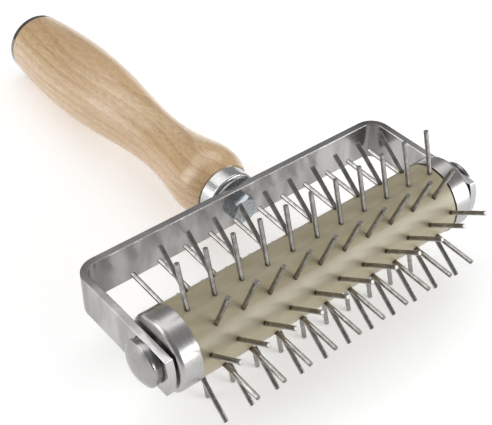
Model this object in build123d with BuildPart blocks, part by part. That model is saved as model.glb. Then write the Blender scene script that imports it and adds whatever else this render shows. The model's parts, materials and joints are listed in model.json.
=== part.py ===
from build123d import *
from math import cos, hypot, radians, sin, sqrt
import os

# A hand-held spiked roller (a roller docker): a turned wooden handle on a bent steel yoke,
# and between the yoke's arms a plastic roller set with rows of blunt steel pins.
# Millimetres.  +Z is up and the tool lies at rest on z = 0, on its pins and on the swell of
# its handle.  The origin is in the middle of the footprint, on the surface.
# Tool directions: x along the axle, y from the axle towards the butt of the handle.

# How the tool lies
lie_angle = 5.189                 # the handle dips towards its butt
axle_y = -72.079                  # axle line in the row frame
axle_z = 27.519

# Pins
pin_pitch = 10.0
row_count = 10
long_row_pins = 11                # long and short rows alternate, half a pitch apart
pin_radius = 0.8
pin_tip_reach = 27.9              # axle line to the middle of a tip
pin_lean = 10.9                   # a pin's foot lies this many degrees round from its tip
pin_depth = 5.5                   # length inside the plastic
pin_tip_round = 0.25
first_row_angle = 96.6            # 0 is the front, 90 is straight up from the yoke
row_step = 360 / row_count

# Roller
core_radius = 12.55
core_left, core_right = -53.2, 52.2
core_bore_radius = 4.0
cap_radius = 12.85
cap_width = 7.5
cap_skirt = 1.2
cap_face = 1.8
cap_edge_round = 1.5
cap_gap = 0.5                     # groove between the plastic and the right cap
bush_radius = 5.0
bush_length = 9.0
running_clearance = 0.05

# Yoke: one flat bar bent twice
bar_width = 14.5
bar_thick = 2.7
yoke_half = 64.2                  # outside face of an arm
bar_reach = 39.6                  # axle line to the outside face of the back bar
bend_radius = 7.2
arm_end = 9.3                     # an arm's straight edges end this far in front of the axle
arm_end_bulge = 1.5
bar_edge = 0.3

# Axle and its fittings
axle_radius = 3.0
hole_clearance = 0.1
head_radius = 7.8
head_rim = 1.2
head_dome = 2.6
head_edge_round = 0.5
washer_radius = 7.1
washer_thick = 1.0
thrust_radius = 5.5
thrust_thick = 0.5
nut_depth = 2.0                   # the axle's threaded end reaches this far into its nut

# Handle and its fastening
ferrule_radius = 10.0
ferrule_wall = 1.1
ferrule_round = 0.8
ferrule_end = 46.5                # distances along the handle from the axle line
handle_washer_radius, handle_washer_thick = 8.9, 1.1
wood_neck_radius = 10.45
bulb_at, bulb_radius = 54.5, 13.0
throat_at, throat_radius = 65.0, 11.5
waist_at, waist_radius = 84.0, 9.75
slope_at, slope_radius = 109.0, 12.35
swell_at, swell_radius = 140.0, 14.3
taper_at, taper_radius = 160.0, 13.1
butt_at, butt_radius = 167.6, 12.3
butt_round = 0.4
cap_disc_radius = 12.1
cap_disc_thick = 2.0
cap_disc_dome = 2.5
cap_disc_round = 0.8
cap_spigot_radius, cap_spigot = 3.0, 12.0
bolt_radius = 3.0
bolt_length = 26.0
bolt_room = 2.0                   # free hole past the bolt's end
hex_flats = 9.2
hex_height = 3.4
hex_turn = 45.0
insert_radius, insert_length = 4.6, 15.0

bar_inside = bar_reach - bar_thick
arm_inside = yoke_half - bar_thick
axle_hole = axle_radius + hole_clearance
bolt_hole = bolt_radius + hole_clearance

# Tool planes
lie_plane = Plane(
    (0, axle_y, axle_z),
    x_dir=(1, 0, 0),
    z_dir=(0, sin(radians(lie_angle)), cos(radians(lie_angle))),
)
axle_axis = Axis(lie_plane.origin, lie_plane.x_dir)
handle_axis = Axis(lie_plane.origin, lie_plane.y_dir)
upright_axis = Axis(lie_plane.origin, lie_plane.z_dir)


def across(x):
    """The plane square to the axle at x: its own axes are the tool's y and z."""
    return Plane(lie_plane.from_local_coords((x, 0, 0)), x_dir=lie_plane.y_dir, z_dir=lie_plane.x_dir)


def along(y):
    """The plane square to the handle at y: it faces the butt."""
    return Plane(lie_plane.from_local_coords((0, y, 0)), x_dir=lie_plane.x_dir, z_dir=lie_plane.y_dir)


def save(piece, name):
    """Name a finished piece and write its STEP file."""
    piece.part.label = name
    export_step(piece.part, f"parts/{name}.step")
    print(f"{name}: {len(piece.part.solids())} solid(s), {piece.part.volume:.1f} mm3")


def dome_half_way(radius, rise):
    """The height of a spherical dome above its rim, half way out from its middle."""
    ball = (radius**2 + rise**2) / (2 * rise)
    return sqrt(ball**2 - (radius / 2) ** 2) - (ball - rise)


def pin_direction(angle):
    """A point at this angle round the axle, as unit y and z."""
    return -cos(radians(angle)), sin(radians(angle))


def pin_frames(row):
    """One plane for each pin of a row, at its buried end and looking along the pin."""
    angle = first_row_angle - row * row_step
    count = long_row_pins - row % 2
    foot_y, foot_z = (core_radius * c for c in pin_direction(angle - pin_lean))
    tip_y, tip_z = (pin_tip_reach * c for c in pin_direction(angle))
    length = hypot(tip_y - foot_y, tip_z - foot_z)
    run_y, run_z = (tip_y - foot_y) / length, (tip_z - foot_z) / length
    start_y, start_z = foot_y - pin_depth * run_y, foot_z - pin_depth * run_z
    normal = lie_plane.y_dir * run_y + lie_plane.z_dir * run_z
    xs = [pin_pitch * (k - (count - 1) / 2) for k in range(count)]
    starts = [lie_plane.from_local_coords((x, start_y, start_z)) for x in xs]
    planes = [Plane(start, x_dir=lie_plane.x_dir, z_dir=normal) for start in starts]
    return planes, length + pin_depth


def distance_from_axle(edge):
    """How far an edge's middle lies from the axle line."""
    place = lie_plane.to_local_coords(edge.arc_center)
    return hypot(place.Y, place.Z)


os.makedirs("parts", exist_ok=True)

# ---------------------------------------------------------------- yoke
with BuildPart() as yoke:
    with BuildSketch(lie_plane.offset(-bar_width / 2)):
        with BuildLine():
            outside = FilletPolyline(
                (-yoke_half, -arm_end - arm_end_bulge),
                (-yoke_half, bar_reach),
                (yoke_half, bar_reach),
                (yoke_half, -arm_end - arm_end_bulge),
                radius=bend_radius,
            )
            inside = FilletPolyline(
                (arm_inside, -arm_end - arm_end_bulge),
                (arm_inside, bar_inside),
                (-arm_inside, bar_inside),
                (-arm_inside, -arm_end - arm_end_bulge),
                radius=bend_radius - bar_thick,
            )
            Line(outside @ 1, inside @ 0)
            Line(inside @ 1, outside @ 0)
        make_face()
    extrude(amount=bar_width)
    with BuildSketch(across(0)):
        with BuildLine():
            top = Line((bar_reach, bar_width / 2), (-arm_end, bar_width / 2))
            nose = ThreePointArc(top @ 1, (-arm_end - arm_end_bulge, 0), (-arm_end, -bar_width / 2))
            bottom = Line(nose @ 1, (bar_reach, -bar_width / 2))
            Line(bottom @ 1, top @ 0)
        make_face()
    extrude(amount=yoke_half, both=True, mode=Mode.INTERSECT)
    flats = yoke.faces().filter_by(upright_axis)
    fillet(flats.edges(), radius=bar_edge)
    with BuildSketch(across(0)):
        Circle(axle_hole)
    extrude(amount=yoke_half + 1, both=True, mode=Mode.SUBTRACT)
    with BuildSketch(along(bar_reach + 1)):
        Circle(bolt_hole)
    extrude(amount=-bar_thick - 2, mode=Mode.SUBTRACT)
save(yoke, "yoke")

# ---------------------------------------------------------------- handle
tenon_radius = ferrule_radius - ferrule_wall
ferrule_at = bar_reach + handle_washer_thick
tenon_at = ferrule_at + ferrule_wall
with BuildPart() as handle:
    with BuildSketch(lie_plane):
        with BuildLine():
            front = Polyline(
                (0, tenon_at), (tenon_radius, tenon_at),
                (tenon_radius, ferrule_end), (wood_neck_radius, ferrule_end),
            )
            side = Spline(
                front @ 1,
                (bulb_radius, bulb_at),
                (throat_radius, throat_at),
                (waist_radius, waist_at),
                (slope_radius, slope_at),
                (swell_radius, swell_at),
                (taper_radius, taper_at),
                (butt_radius, butt_at),
            )
            Polyline(
                side @ 1, (butt_radius - butt_round, butt_at + butt_round),
                (0, butt_at + butt_round), front @ 0,
            )
        make_face()
    revolve(axis=handle_axis)
    insert_end = tenon_at + insert_length
    with BuildSketch(along(tenon_at)):
        Circle(insert_radius)
    extrude(amount=insert_length, mode=Mode.SUBTRACT)
    with BuildSketch(along(insert_end)):
        Circle(bolt_hole)
    extrude(amount=bar_inside + bolt_length + bolt_room - insert_end, mode=Mode.SUBTRACT)
    with BuildSketch(along(butt_at + butt_round)):
        Circle(cap_spigot_radius)
    extrude(amount=-cap_spigot, mode=Mode.SUBTRACT)
save(handle, "handle")

# ---------------------------------------------------------------- ferrule and its washer
with BuildPart() as ferrule:
    with BuildSketch(along(ferrule_at)):
        Circle(ferrule_radius)
    extrude(amount=ferrule_end - ferrule_at)
    front_rim = ferrule.edges().filter_by(GeomType.CIRCLE).sort_by(handle_axis)[0]
    fillet(front_rim, radius=ferrule_round)
    with BuildSketch(along(tenon_at)):
        Circle(tenon_radius)
    extrude(amount=ferrule_end - tenon_at, mode=Mode.SUBTRACT)
    with BuildSketch(along(ferrule_at)):
        Circle(bolt_hole)
    extrude(amount=ferrule_wall, mode=Mode.SUBTRACT)
save(ferrule, "ferrule")

with BuildPart() as handle_washer:
    with BuildSketch(along(bar_reach)):
        Circle(handle_washer_radius)
        Circle(bolt_hole, mode=Mode.SUBTRACT)
    extrude(amount=handle_washer_thick)
save(handle_washer, "handle_washer")

# ---------------------------------------------------------------- butt cap
with BuildPart() as butt_cap:
    with BuildSketch(lie_plane) as outline:
        with BuildLine():
            seat = butt_at + butt_round
            half_way = dome_half_way(cap_disc_radius, cap_disc_dome)
            stem = Polyline(
                (0, seat - cap_spigot), (cap_spigot_radius, seat - cap_spigot),
                (cap_spigot_radius, seat), (cap_disc_radius, seat),
                (cap_disc_radius, seat + cap_disc_thick),
            )
            dome = ThreePointArc(
                stem @ 1,
                (cap_disc_radius / 2, seat + cap_disc_thick + half_way),
                (0, seat + cap_disc_thick + cap_disc_dome),
            )
            Line(dome @ 1, stem @ 0)
        make_face()
        fillet(outline.vertices().group_by(Axis.X)[-1].sort_by(Axis.Y)[-1], radius=cap_disc_round)
    revolve(axis=handle_axis)
save(butt_cap, "butt_cap")

# ---------------------------------------------------------------- handle bolt and its insert
with BuildPart() as handle_bolt:
    with BuildSketch(along(bar_inside)):
        RegularPolygon(hex_flats / 2, 6, major_radius=False, rotation=hex_turn)
    extrude(amount=-hex_height)
    with BuildSketch(lie_plane):
        with BuildLine():
            Polyline(
                (0, bar_inside), (hex_flats, bar_inside), (hex_flats, bar_inside - 1.0),
                (hex_flats / 2 - 0.2, bar_inside - hex_height), (0, bar_inside - hex_height), close=True,
            )
        make_face()
    revolve(axis=handle_axis, mode=Mode.INTERSECT)
    with BuildSketch(along(bar_inside)):
        Circle(bolt_radius)
    extrude(amount=bolt_length)
save(handle_bolt, "handle_bolt")

with BuildPart() as threaded_insert:
    with BuildSketch(along(tenon_at)):
        Circle(insert_radius)
        Circle(bolt_radius, mode=Mode.SUBTRACT)
    extrude(amount=insert_length)
save(threaded_insert, "threaded_insert")

# ---------------------------------------------------------------- axle, its nut and washers
seat_x = yoke_half + washer_thick
rim_x = seat_x + head_rim
dome_x = rim_x + head_dome


def domed_head(side):
    """A low domed head on this side of the yoke, its foot on the washer."""
    with BuildPart() as head:
        with BuildSketch(lie_plane) as outline:
            with BuildLine():
                foot = Polyline(
                    (side * seat_x, 0), (side * seat_x, head_radius), (side * rim_x, head_radius),
                )
                dome = ThreePointArc(
                    foot @ 1,
                    (side * (rim_x + dome_half_way(head_radius, head_dome)), head_radius / 2),
                    (side * dome_x, 0),
                )
                Line(dome @ 1, foot @ 0)
            make_face()
            fillet(outline.vertices().sort_by(Axis.X)[-2 if side > 0 else 1], radius=head_edge_round)
        revolve(axis=axle_axis)
    return head.part


with BuildPart() as axle:
    add(domed_head(-1))
    with BuildSketch(across(-seat_x)):
        Circle(axle_radius)
    extrude(amount=2 * seat_x + nut_depth)
save(axle, "axle")

with BuildPart() as axle_nut:
    add(domed_head(1))
    with BuildSketch(across(seat_x)):
        Circle(axle_radius)
    extrude(amount=nut_depth, mode=Mode.SUBTRACT)
save(axle_nut, "axle_nut")


def ring(start, thick, outer, inner):
    """A flat ring round the axle, from start towards +x."""
    with BuildPart() as piece:
        with BuildSketch(across(start)):
            Circle(outer)
            Circle(inner, mode=Mode.SUBTRACT)
        extrude(amount=thick)
    return piece


save(ring(-seat_x, washer_thick, washer_radius, axle_hole), "head_washer_left")
save(ring(yoke_half, washer_thick, washer_radius, axle_hole), "head_washer_right")
save(ring(-arm_inside, thrust_thick, thrust_radius, axle_hole), "thrust_washer_left")
save(ring(arm_inside - thrust_thick, thrust_thick, thrust_radius, axle_hole), "thrust_washer_right")

# ---------------------------------------------------------------- roller core
spigot_radius = cap_radius - cap_skirt
cap_left = core_left - cap_width
cap_right = core_right + cap_gap + cap_width
pin_rows = [pin_frames(row) for row in range(row_count)]

with BuildPart() as roller_core:
    with BuildSketch(lie_plane):
        with BuildLine():
            Polyline(
                (cap_left + cap_face, bush_radius), (cap_left + cap_face, spigot_radius),
                (core_left, spigot_radius), (core_left, core_radius),
                (core_right, core_radius), (core_right, spigot_radius),
                (cap_right - cap_face, spigot_radius), (cap_right - cap_face, bush_radius),
                (cap_right - bush_length, bush_radius), (cap_right - bush_length, core_bore_radius),
                (cap_left + bush_length, core_bore_radius), (cap_left + bush_length, bush_radius),
                close=True,
            )
        make_face()
    revolve(axis=axle_axis)
    for planes, length in pin_rows:
        with BuildSketch(*planes):
            Circle(pin_radius)
        extrude(amount=length, mode=Mode.SUBTRACT)
save(roller_core, "roller_core")


# ---------------------------------------------------------------- end caps and bushes
def end_cap(face_x, inward):
    """A pressed steel cup over the core's end: its face at face_x, its skirt running inward."""
    with BuildPart() as cap:
        with BuildSketch(lie_plane):
            with BuildLine():
                Polyline(
                    (face_x, bush_radius), (face_x, cap_radius),
                    (face_x + inward * cap_width, cap_radius),
                    (face_x + inward * cap_width, spigot_radius),
                    (face_x + inward * cap_face, spigot_radius),
                    (face_x + inward * cap_face, bush_radius), close=True,
                )
            make_face()
        revolve(axis=axle_axis)
        rims = cap.edges().filter_by(GeomType.CIRCLE).group_by(SortBy.RADIUS)[-1].sort_by(Axis.X)
        fillet(rims[0 if inward > 0 else -1], radius=cap_edge_round)
    return cap


save(end_cap(cap_left, 1), "end_cap_left")
save(end_cap(cap_right, -1), "end_cap_right")
bush_bore = axle_radius + running_clearance
save(ring(cap_left, bush_length, bush_radius, bush_bore), "bush_left")
save(ring(cap_right - bush_length, bush_length, bush_radius, bush_bore), "bush_right")

# ---------------------------------------------------------------- pins
for row, (planes, length) in enumerate(pin_rows, start=1):
    with BuildPart() as pins:
        with BuildSketch(*planes):
            Circle(pin_radius)
        extrude(amount=length)
        rims = pins.edges().filter_by(GeomType.CIRCLE)
        fillet(rims.filter_by(lambda edge: distance_from_axle(edge) > core_radius), radius=pin_tip_round)
    save(pins, f"pin_row_{row:02d}")
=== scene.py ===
import json
from math import atan2, cos, pi, radians, sin

import bpy
from mathutils import Matrix, Vector

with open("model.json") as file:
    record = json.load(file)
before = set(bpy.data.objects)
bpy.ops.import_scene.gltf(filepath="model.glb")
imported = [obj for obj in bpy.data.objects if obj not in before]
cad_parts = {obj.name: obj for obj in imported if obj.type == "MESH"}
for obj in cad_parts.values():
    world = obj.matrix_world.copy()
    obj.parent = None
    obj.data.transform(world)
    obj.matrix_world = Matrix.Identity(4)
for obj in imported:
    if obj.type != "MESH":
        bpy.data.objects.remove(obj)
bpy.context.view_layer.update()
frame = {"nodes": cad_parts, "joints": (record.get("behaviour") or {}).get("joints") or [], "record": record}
nodes = frame["nodes"]

MM = 0.001

# The tool's own directions, as the CAD has them: x along the axle, y along the handle, z up from the yoke
AXLE = Vector(frame["joints"][0]["pos_m"])
YOKE_TOP = next(mount for mount in frame["record"]["mounts"] if mount["name"] == "yoke_edge_top")
UP = Vector(YOKE_TOP["axis"]).normalized()
LIE = atan2(UP.y, UP.z)

# Places on the tool, in those directions, in millimetres from the axle
PIN_REACH = 27.9                # to the middle of a pin's cut end
CORE_RADIUS = 12.55             # the plastic's surface
BEND_AT = (60.0, 35.5)          # x and y of the yoke's bends, the same on both sides

# A Mix node has sockets for each kind of data. These are the ones for colours
MIX_FIRST, MIX_SECOND, MIX_RESULT = 6, 7, 2


# ---------------------------------------------------------------- node helpers
class Shader:
    """A material under construction: short calls for the nodes that the finishes share."""

    def __init__(self, name, **settings):
        self.material = bpy.data.materials.new(name)
        self.material.use_nodes = True
        self.tree = self.material.node_tree
        self.surface = self.tree.nodes["Principled BSDF"]
        for socket, value in settings.items():
            self.surface.inputs[socket.replace("_", " ")].default_value = value

    def add(self, kind, **settings):
        node = self.tree.nodes.new(kind)
        for key, value in settings.items():
            setattr(node, key, value)
        return node

    def link(self, source, target):
        self.tree.links.new(source, target)
        return target

    def set(self, socket, source):
        self.link(source, self.surface.inputs[socket])

    def tool_mm(self, stretch=(1, 1, 1)):
        """The point in the tool's own directions, in millimetres from the axle, each axis times stretch."""
        place = self.add("ShaderNodeTexCoord").outputs["Object"]
        turn = self.add("ShaderNodeMapping", vector_type="TEXTURE")
        turn.inputs["Location"].default_value = AXLE
        turn.inputs["Rotation"].default_value = (-LIE, 0, 0)
        turn.inputs["Scale"].default_value = (MM, MM, MM)
        self.link(place, turn.inputs["Vector"])
        scale = self.add("ShaderNodeVectorMath", operation="MULTIPLY")
        self.link(turn.outputs["Vector"], scale.inputs[0])
        scale.inputs[1].default_value = stretch
        return scale.outputs[0]

    def noise(self, where, scale=1.0, detail=2.0, roughness=0.5, distortion=0.0):
        node = self.add("ShaderNodeTexNoise")
        self.link(where, node.inputs["Vector"])
        node.inputs["Scale"].default_value = scale
        node.inputs["Detail"].default_value = detail
        node.inputs["Roughness"].default_value = roughness
        node.inputs["Distortion"].default_value = distortion
        return node.outputs["Fac"]

    def between(self, value, low, high, start=0.0, end=1.0):
        """value eased from low..high to start..end, and held beyond them."""
        node = self.add("ShaderNodeMapRange", interpolation_type="SMOOTHSTEP")
        self.link(value, node.inputs["Value"])
        for socket, number in zip(("From Min", "From Max", "To Min", "To Max"), (low, high, start, end)):
            node.inputs[socket].default_value = number
        return node.outputs["Result"]

    def maths(self, operation, first, second=0):
        """One Math node. ABSOLUTE and SQRT take the first value alone."""
        node = self.add("ShaderNodeMath", operation=operation)
        for socket, value in zip(node.inputs, (first, second)):
            if isinstance(value, (int, float)):
                socket.default_value = value
            else:
                self.link(value, socket)
        return node.outputs[0]

    def mix(self, factor, first, second):
        """A colour between two, each a colour or another node's output."""
        node = self.add("ShaderNodeMix", data_type="RGBA")
        self.link(factor, node.inputs["Factor"])
        for socket, value in ((node.inputs[MIX_FIRST], first), (node.inputs[MIX_SECOND], second)):
            if isinstance(value, tuple):
                socket.default_value = (*value, 1)
            else:
                self.link(value, socket)
        return node.outputs[MIX_RESULT]

    def bump(self, height, depth_mm, strength=1.0):
        node = self.add("ShaderNodeBump")
        node.inputs["Strength"].default_value = strength
        node.inputs["Distance"].default_value = depth_mm * MM
        self.link(height, node.inputs["Height"])
        self.set("Normal", node.outputs["Normal"])


# ---------------------------------------------------------------- finishes
def wood():
    """Light hardwood under a thin satin lacquer: growth figure, short open pores, fine fibre."""
    s = Shader("wood_satin", Coat_Weight=0.9, Coat_Roughness=0.26, Coat_IOR=1.8)
    off_centre = (15, 0, 19)        # millimetres from the growth rings' middle to the handle's
    shift = s.add("ShaderNodeVectorMath", operation="ADD")
    s.link(s.tool_mm((1, 0.075, 1)), shift.inputs[0])
    shift.inputs[1].default_value = off_centre
    rings = s.add("ShaderNodeTexWave", wave_type="RINGS", rings_direction="Y", wave_profile="SAW")
    s.link(shift.outputs[0], rings.inputs["Vector"])
    for socket, value in (("Scale", 0.10), ("Distortion", 6.0), ("Detail", 2.0), ("Detail Scale", 0.9)):
        rings.inputs[socket].default_value = value
    early = rings.outputs["Fac"]

    cloud = s.noise(s.tool_mm((0.07, 0.018, 0.07)), detail=3)
    fibre = s.noise(s.tool_mm((2.4, 0.085, 2.4)), detail=4, roughness=0.65)
    coarse = s.noise(s.tool_mm((2.6, 0.30, 2.6)), detail=2, roughness=0.55)
    fine = s.noise(s.tool_mm((4.4, 0.42, 4.4)), detail=2, roughness=0.5)
    pores = s.maths("MAXIMUM", s.between(coarse, 0.57, 0.68), s.between(fine, 0.55, 0.68, 0.0, 0.8))
    pores = s.maths("MULTIPLY", pores, s.between(early, 0.1, 0.8, 0.5, 1.0))

    pale, tan = (0.70, 0.505, 0.285), (0.60, 0.39, 0.185)
    deep, pore = (0.49, 0.275, 0.105), (0.30, 0.15, 0.06)
    colour = s.mix(s.between(cloud, 0.3, 0.7), tan, pale)
    colour = s.mix(s.between(early, 0.45, 1.0, 0.0, 0.6), colour, deep)
    colour = s.mix(s.between(fibre, 0.40, 0.62, 0.0, 0.6), colour, deep)
    colour = s.mix(s.maths("MULTIPLY", pores, 0.7), colour, pore)
    s.set("Base Color", colour)
    s.set("Roughness", s.between(fibre, 0.3, 0.7, 0.36, 0.50))
    s.bump(s.maths("SUBTRACT", s.maths("MULTIPLY", fibre, 0.3), pores), 0.04, 0.6)
    return s.material


def plastic():
    """Khaki-beige moulded plastic: satin, with a faint mould texture and a slightly uneven tone."""
    s = Shader("plastic_khaki", Specular_IOR_Level=0.5)
    cloud = s.noise(s.tool_mm((0.05, 0.12, 0.12)), detail=3)
    grain = s.noise(s.tool_mm((2.2, 2.2, 2.2)), detail=3, roughness=0.6)
    tone = s.mix(s.between(cloud, 0.3, 0.7), (0.315, 0.272, 0.172), (0.375, 0.328, 0.222))
    s.set("Base Color", tone)
    s.set("Roughness", s.between(grain, 0.3, 0.7, 0.28, 0.38))
    s.bump(grain, 0.02, 0.35)
    return s.material


def bar_steel():
    """Flat stainless bar, ground along its length: fine lines, soft smudges, and painted shade darkening it
    near the bends.
    """
    s = Shader("steel_bar", Metallic=1.0)
    lines = s.noise(s.tool_mm((0.035, 0.035, 9.0)), detail=4, roughness=0.65)
    smudge = s.noise(s.tool_mm((0.14, 0.14, 0.05)), detail=3)
    ground = s.mix(s.between(smudge, 0.35, 0.65), (0.36, 0.35, 0.345), (0.50, 0.49, 0.485))
    # Painted shade: the bar's colour darkens towards the yoke's bends, where its corners fall into shade
    split = s.add("ShaderNodeSeparateXYZ")
    s.link(s.tool_mm(), split.inputs[0])
    across = s.maths("SUBTRACT", s.maths("ABSOLUTE", split.outputs["X"]), BEND_AT[0])
    behind = s.maths("SUBTRACT", split.outputs["Y"], BEND_AT[1])
    squares = s.maths("ADD", s.maths("MULTIPLY", across, across), s.maths("MULTIPLY", behind, behind))
    from_bend_for_shade = s.maths("SQRT", squares)
    s.set("Base Color", s.mix(s.between(from_bend_for_shade, 2.0, 12.0, 0.75, 0.0), ground, (0.20, 0.19, 0.185)))
    dull = s.between(smudge, 0.3, 0.7, 0.10, 0.0)
    s.set("Roughness", s.maths("ADD", s.between(lines, 0.3, 0.7, 0.10, 0.18), dull))
    s.bump(lines, 0.002, 0.8)
    return s.material


def turned_steel(name, tone, low, high, lines_mm, axis):
    """Steel turned in a lathe: fine rings round an axis ("X", the axle, or "Y", the handle).

    low and high are the ends of its roughness, lines_mm is about how many rings a millimetre has.
    """
    s = Shader(name, Metallic=1.0)
    along, across = lines_mm, 0.02
    stretch = (along, across, across) if axis == "X" else (across, along, across)
    lines = s.noise(s.tool_mm(stretch), detail=3, roughness=0.6)
    patch = s.noise(s.tool_mm((0.2, 0.2, 0.2)), detail=2)
    darker = tuple(c * 0.9 for c in tone)
    s.set("Base Color", s.mix(s.between(patch, 0.3, 0.7), darker, tone))
    s.set("Roughness", s.between(lines, 0.3, 0.7, low, high))
    s.bump(lines, 0.001, 0.35)
    return s.material


def zinc_steel():
    """Zinc plating: bluish, with mottled crystals of slightly different gloss."""
    s = Shader("steel_zinc", Metallic=1.0)
    cells = s.add("ShaderNodeTexVoronoi")
    s.link(s.tool_mm((1.5, 1.5, 1.5)), cells.inputs["Vector"])
    spots = s.noise(s.tool_mm((1.4, 1.4, 1.4)), detail=4, roughness=0.65)
    mottle = s.maths("ADD", s.maths("MULTIPLY", cells.outputs["Distance"], 0.35), spots)
    tone = s.mix(s.between(mottle, 0.45, 0.95), (0.36, 0.40, 0.44), (0.60, 0.64, 0.675))
    s.set("Base Color", tone)
    s.set("Roughness", s.between(spots, 0.35, 0.65, 0.16, 0.36))
    s.bump(spots, 0.02, 0.35)
    return s.material


def pin_steel():
    """Drawn steel wire with a slightly dark, uneven skin, its cut ends left rough and grey, and painted
    shade on its foot.
    """
    s = Shader("steel_pins", Metallic=1.0)
    skin = s.noise(s.tool_mm((0.45, 0.45, 0.45)), detail=3)
    reach = s.add("ShaderNodeVectorMath", operation="LENGTH")
    s.link(s.tool_mm((0, 1, 1)), reach.inputs[0])
    end = s.between(reach.outputs["Value"], PIN_REACH - 0.42, PIN_REACH - 0.22)
    # Painted shade: the wire darkens near its foot at the plastic, where its contact shadow falls
    foot_shade = s.between(reach.outputs["Value"], CORE_RADIUS + 0.1, CORE_RADIUS + 1.6)
    wire = s.mix(s.between(skin, 0.3, 0.7), (0.27, 0.255, 0.24), (0.42, 0.405, 0.39))
    s.set("Base Color", s.mix(foot_shade, (0.14, 0.12, 0.10), s.mix(end, wire, (0.24, 0.23, 0.22))))
    gloss = s.between(skin, 0.3, 0.7, 0.05, 0.11)
    s.set("Roughness", s.maths("MAXIMUM", gloss, s.maths("MULTIPLY", end, 0.42)))
    s.bump(s.noise(s.tool_mm((3, 3, 3)), detail=2), 0.004, 0.4)
    return s.material


def nylon():
    """Plain white nylon for the bushes."""
    s = Shader("nylon")
    grain = s.noise(s.tool_mm((1.5, 1.5, 1.5)), detail=2)
    s.set("Base Color", s.mix(grain, (0.70, 0.69, 0.64), (0.80, 0.79, 0.75)))
    s.set("Roughness", s.between(grain, 0.3, 0.7, 0.45, 0.6))
    return s.material


def finish_nodes():
    """Every CAD node that stays gets its finish."""
    polished = turned_steel("steel_polished", (0.60, 0.595, 0.59), 0.18, 0.26, 5.0, "Y")
    butt = turned_steel("steel_butt_cap", (0.26, 0.255, 0.24), 0.12, 0.20, 5.0, "Y")
    washers = turned_steel("steel_washers", (0.34, 0.345, 0.355), 0.24, 0.34, 3.0, "X")
    caps = turned_steel("steel_caps", (0.46, 0.45, 0.445), 0.26, 0.32, 6.0, "X")
    axle = turned_steel("steel_axle", (0.385, 0.37, 0.36), 0.22, 0.30, 4.0, "X")
    brass = turned_steel("brass", (0.78, 0.58, 0.28), 0.25, 0.35, 4.0, "Y")
    zinc, pins, bush = zinc_steel(), pin_steel(), nylon()
    finishes = {
        "yoke": bar_steel(), "handle": wood(), "ferrule": polished, "butt_cap": butt,
        "handle_bolt": zinc, "threaded_insert": brass, "axle": axle, "axle_nut": axle,
        "roller_core": plastic(), "end_cap_left": caps, "end_cap_right": caps,
        "bush_left": bush, "bush_right": bush,
    }
    for name, piece in nodes.items():
        if name.startswith("pin_row"):
            material = pins
        elif "washer" in name:
            material = washers
        else:
            material = finishes[name]
        piece.data.materials.clear()
        piece.data.materials.append(material)


# ---------------------------------------------------------------- studio
def floor():
    """A plain pale light table, flat under the tool: it glows a little, so shadows on it stay faint."""
    s = Shader("floor_acrylic", Roughness=0.9, Specular_IOR_Level=0.1)
    s.surface.inputs["Emission Color"].default_value = (1, 1, 1, 1)
    s.surface.inputs["Emission Strength"].default_value = 0.34
    grain = s.noise(s.tool_mm((0.4, 0.4, 0.4)), detail=2)
    s.set("Base Color", s.mix(grain, (0.84, 0.84, 0.84), (0.86, 0.86, 0.86)))
    mesh = bpy.data.meshes.new("floor")
    half = 2.0                      # metres, half the side of the table
    corners = [(-half, -half, 0), (half, -half, 0), (half, half, 0), (-half, half, 0)]
    mesh.from_pydata(corners, [], [(0, 1, 2, 3)])
    mesh.materials.append(s.material)
    sheet = bpy.data.objects.new("floor", mesh)
    bpy.context.scene.collection.objects.link(sheet)


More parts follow.
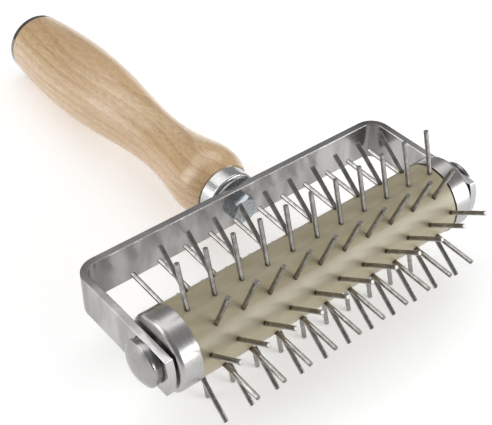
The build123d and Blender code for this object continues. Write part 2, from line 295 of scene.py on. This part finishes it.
def soft_light(name, azimuth, elevation, distance, width, height, power):
    """A softbox that faces the tool. azimuth is counted from +Y towards +X, in degrees."""
    light = bpy.data.lights.new(name, "AREA")
    light.shape = "RECTANGLE"
    light.size, light.size_y, light.energy = width, height, power
    way = Vector((
        sin(radians(azimuth)) * cos(radians(elevation)),
        cos(radians(azimuth)) * cos(radians(elevation)),
        sin(radians(elevation)),
    ))
    lamp = bpy.data.objects.new(name, light)
    lamp.location = AXLE + way * distance
    lamp.rotation_euler = way.to_track_quat("Z", "Y").to_euler()
    bpy.context.scene.collection.objects.link(lamp)


def room():
    """A dim grey room, darkest about 45 degrees up and palest overhead: the softboxes stand out in metal."""
    world = bpy.data.worlds.new("room")
    bpy.context.scene.world = world
    world.use_nodes = True
    tree = world.node_tree
    place = tree.nodes.new("ShaderNodeTexCoord")
    split = tree.nodes.new("ShaderNodeSeparateXYZ")
    ramp = tree.nodes.new("ShaderNodeValToRGB")
    tree.links.new(place.outputs["Generated"], split.inputs[0])
    tree.links.new(split.outputs["Z"], ramp.inputs["Fac"])
    tree.links.new(ramp.outputs["Color"], tree.nodes["Background"].inputs["Color"])
    stops = ramp.color_ramp.elements
    stops[0].color = (0.26, 0.26, 0.26, 1)
    stops[1].color = (0.46, 0.46, 0.46, 1)
    for height, grey in ((0.30, 0.34), (0.72, 0.24)):
        stops.new(height).color = (grey, grey, grey, 1)


def camera():
    """Looks down at the roller from the front left, near enough for the tool to fill the frame."""
    aim, distance = Vector((-2.76, -41.54, 27.52)) * MM, 347.6 * MM
    azimuth, elevation, roll = 42.56, 44.48, 5.14
    data = bpy.data.cameras.new("camera")
    data.sensor_width, data.lens = 36, 77.0
    data.clip_start = 0.01
    eye = bpy.data.objects.new("camera", data)
    turn = (
        Matrix.Rotation(radians(-azimuth), 4, "Z")
        @ Matrix.Rotation(pi / 2 - radians(elevation), 4, "X")
        @ Matrix.Rotation(radians(roll), 4, "Z")
    )
    eye.matrix_world = Matrix.Translation(aim) @ turn @ Matrix.Translation((0, 0, distance))
    bpy.context.scene.collection.objects.link(eye)
    bpy.context.scene.camera = eye


finish_nodes()
floor()
room()
soft_light("key", azimuth=142, elevation=17, distance=0.9, width=0.70, height=0.42, power=6.4)
soft_light("top", azimuth=14, elevation=60, distance=1.0, width=1.5, height=0.66, power=4.6)
soft_light("left", azimuth=-60, elevation=24, distance=1.0, width=0.46, height=0.85, power=3.4)
camera()
bpy.context.scene.view_settings.view_transform = "Standard"
